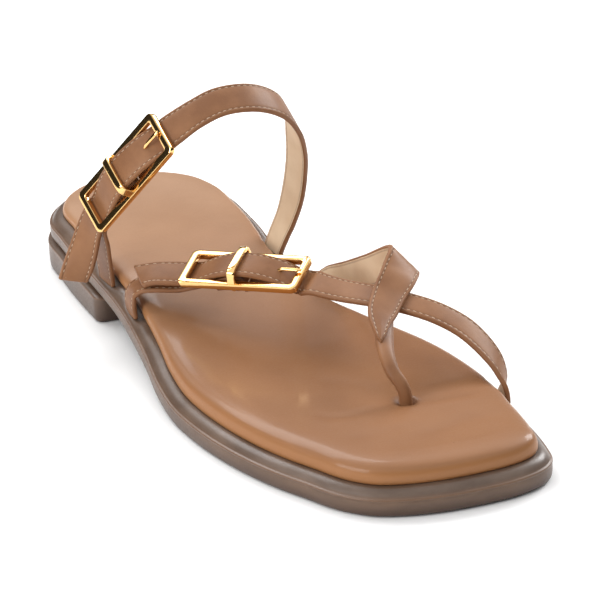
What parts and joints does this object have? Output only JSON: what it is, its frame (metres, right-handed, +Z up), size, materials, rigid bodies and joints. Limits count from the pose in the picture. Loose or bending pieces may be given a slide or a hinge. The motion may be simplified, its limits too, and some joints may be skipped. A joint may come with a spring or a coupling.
{
  "type": "toe-post strap mule sandal",
  "caption": "Right flat toe-post sandal: leather footbed on a ridged rubber sole with a low heel block, crossed vamp straps joined to a toe post, and a buckled strap over the instep.",
  "frame": {"origin": "centre of the overall box's footprint, on the floor under the sole", "axes": "+Y towards the heel, +X towards the inner (big toe) side, +Z up"},
  "size_m": [0.0984, 0.2582, 0.0883],
  "materials": {
    "strap_leather": "smooth",
    "footbed_leather": "smooth",
    "sole_rubber": "satin",
    "heel_rubber": "satin",
    "gold_metal": "polished"
  },
  "bodies": {
    "root": {"outsole": "sole_rubber", "heel": "heel_rubber", "footbed": "footbed_leather", "cross_straps": "strap_leather", "instep_strap": "strap_leather", "vamp_anchor_strap": "strap_leather", "instep_anchor_strap": "strap_leather", "vamp_buckle_frame": "gold_metal", "vamp_buckle_prong": "gold_metal", "instep_buckle_frame": "gold_metal", "instep_buckle_prong": "gold_metal"}
  },
  "joints": []
}
